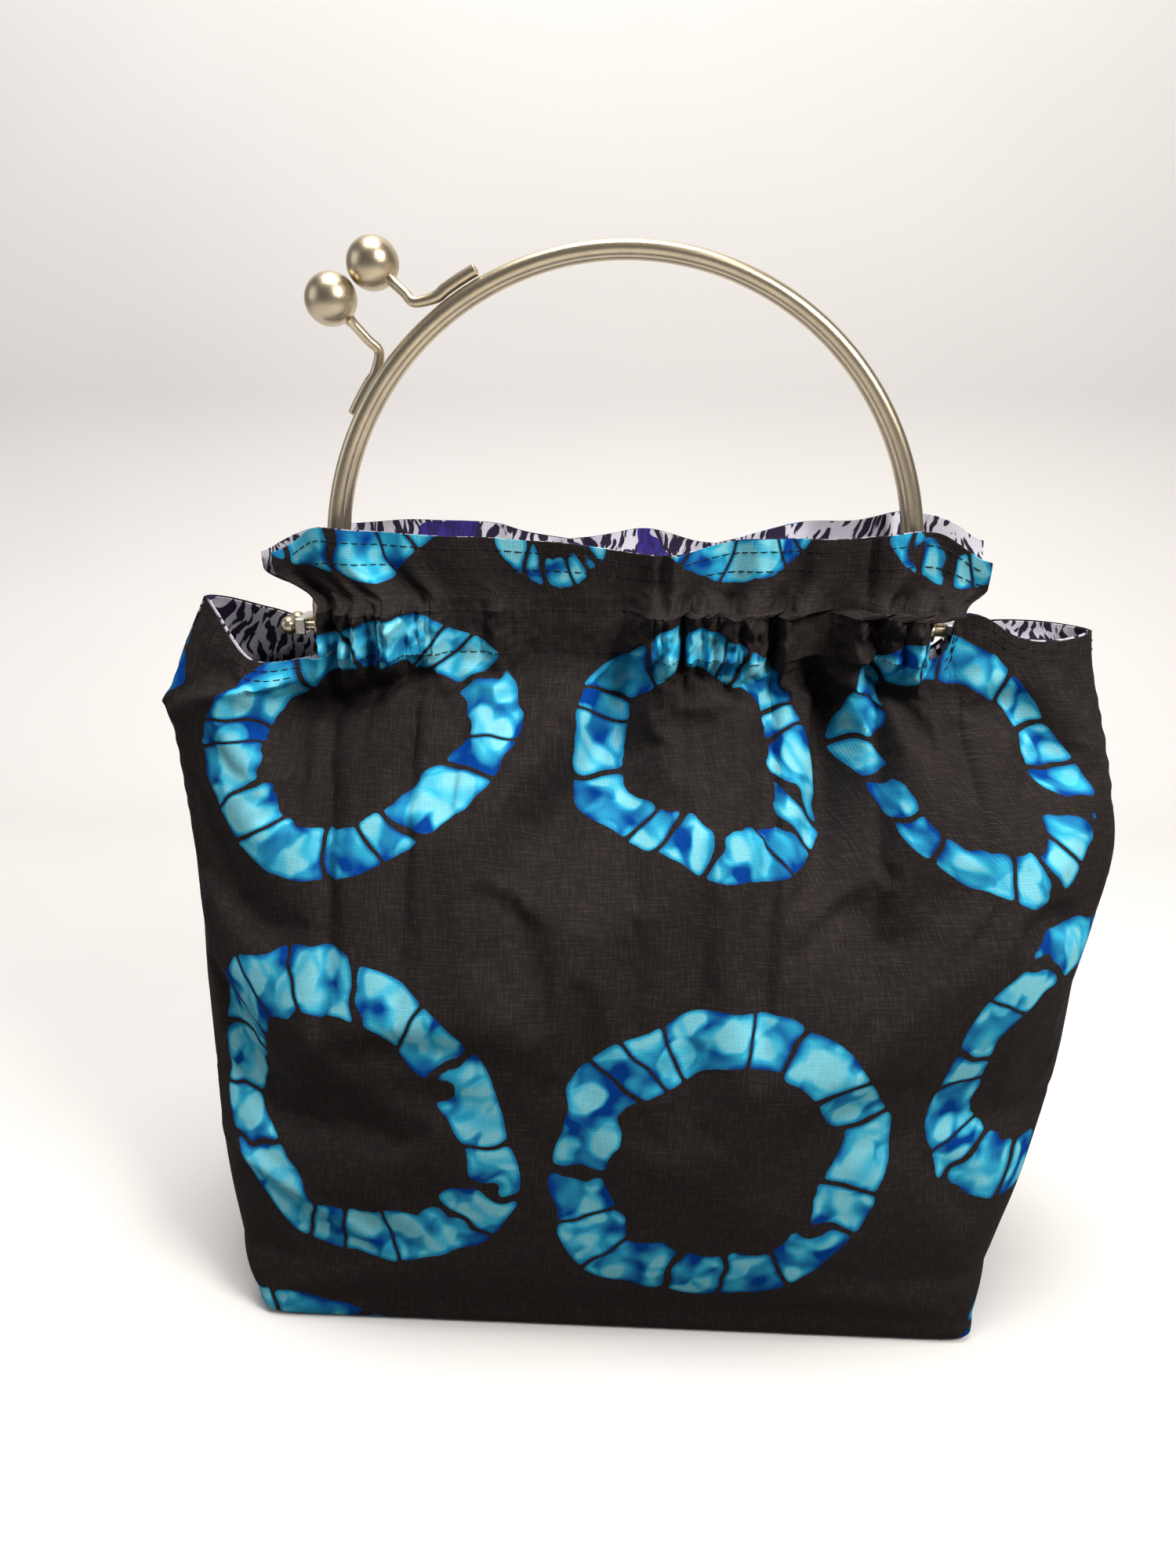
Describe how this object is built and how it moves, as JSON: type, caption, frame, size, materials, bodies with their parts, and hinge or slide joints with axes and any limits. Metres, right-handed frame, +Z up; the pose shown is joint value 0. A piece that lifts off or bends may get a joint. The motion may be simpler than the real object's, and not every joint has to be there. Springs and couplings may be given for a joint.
{
  "type": "gathered handbag with clasp frame",
  "caption": "Small gathered cotton handbag on a round-wire handle frame: two arched handles on rods through the cloth casings, closed by a ball clasp.",
  "frame": {"origin": "centre of the flat base on which the bag stands", "axes": "+Z up through the middle of the handle, -Y out of the front panel, +X to the right as the front is seen"},
  "size_m": [0.2509, 0.0938, 0.283],
  "materials": {
    "brass": "brushed, antique",
    "outer_cotton": "plain weave cotton, printed",
    "lining_cotton": "plain weave cotton, printed"
  },
  "bodies": {
    "bag": {"bag_shell": "outer_cotton", "bag_lining": "lining_cotton", "front_casing": "outer_cotton", "back_casing": "outer_cotton", "front_rod": "brass", "back_rod": "brass", "front_nut_left": "brass", "front_nut_right": "brass", "back_nut_left": "brass", "back_nut_right": "brass", "link_left": "brass", "link_right": "brass"},
    "front_frame": {"front_arch": "brass", "front_clasp_arm": "brass", "front_clasp_ball": "brass", "front_header": "outer_cotton"},
    "back_frame": {"back_arch": "brass", "back_clasp_arm": "brass", "back_clasp_ball": "brass", "back_header": "outer_cotton"}
  },
  "joints": [
    {"name": "front_arch_hinge", "type": "hinge", "parent": "bag", "child": "front_frame", "pos_m": [0, -0.004, 0.19], "axis": [1, 0, 0], "range_deg": [0, 80]},
    {"name": "back_arch_hinge", "type": "hinge", "parent": "bag", "child": "back_frame", "pos_m": [0, 0.004, 0.19], "axis": [-1, 0, 0], "range_deg": [0, 80]}
  ]
}
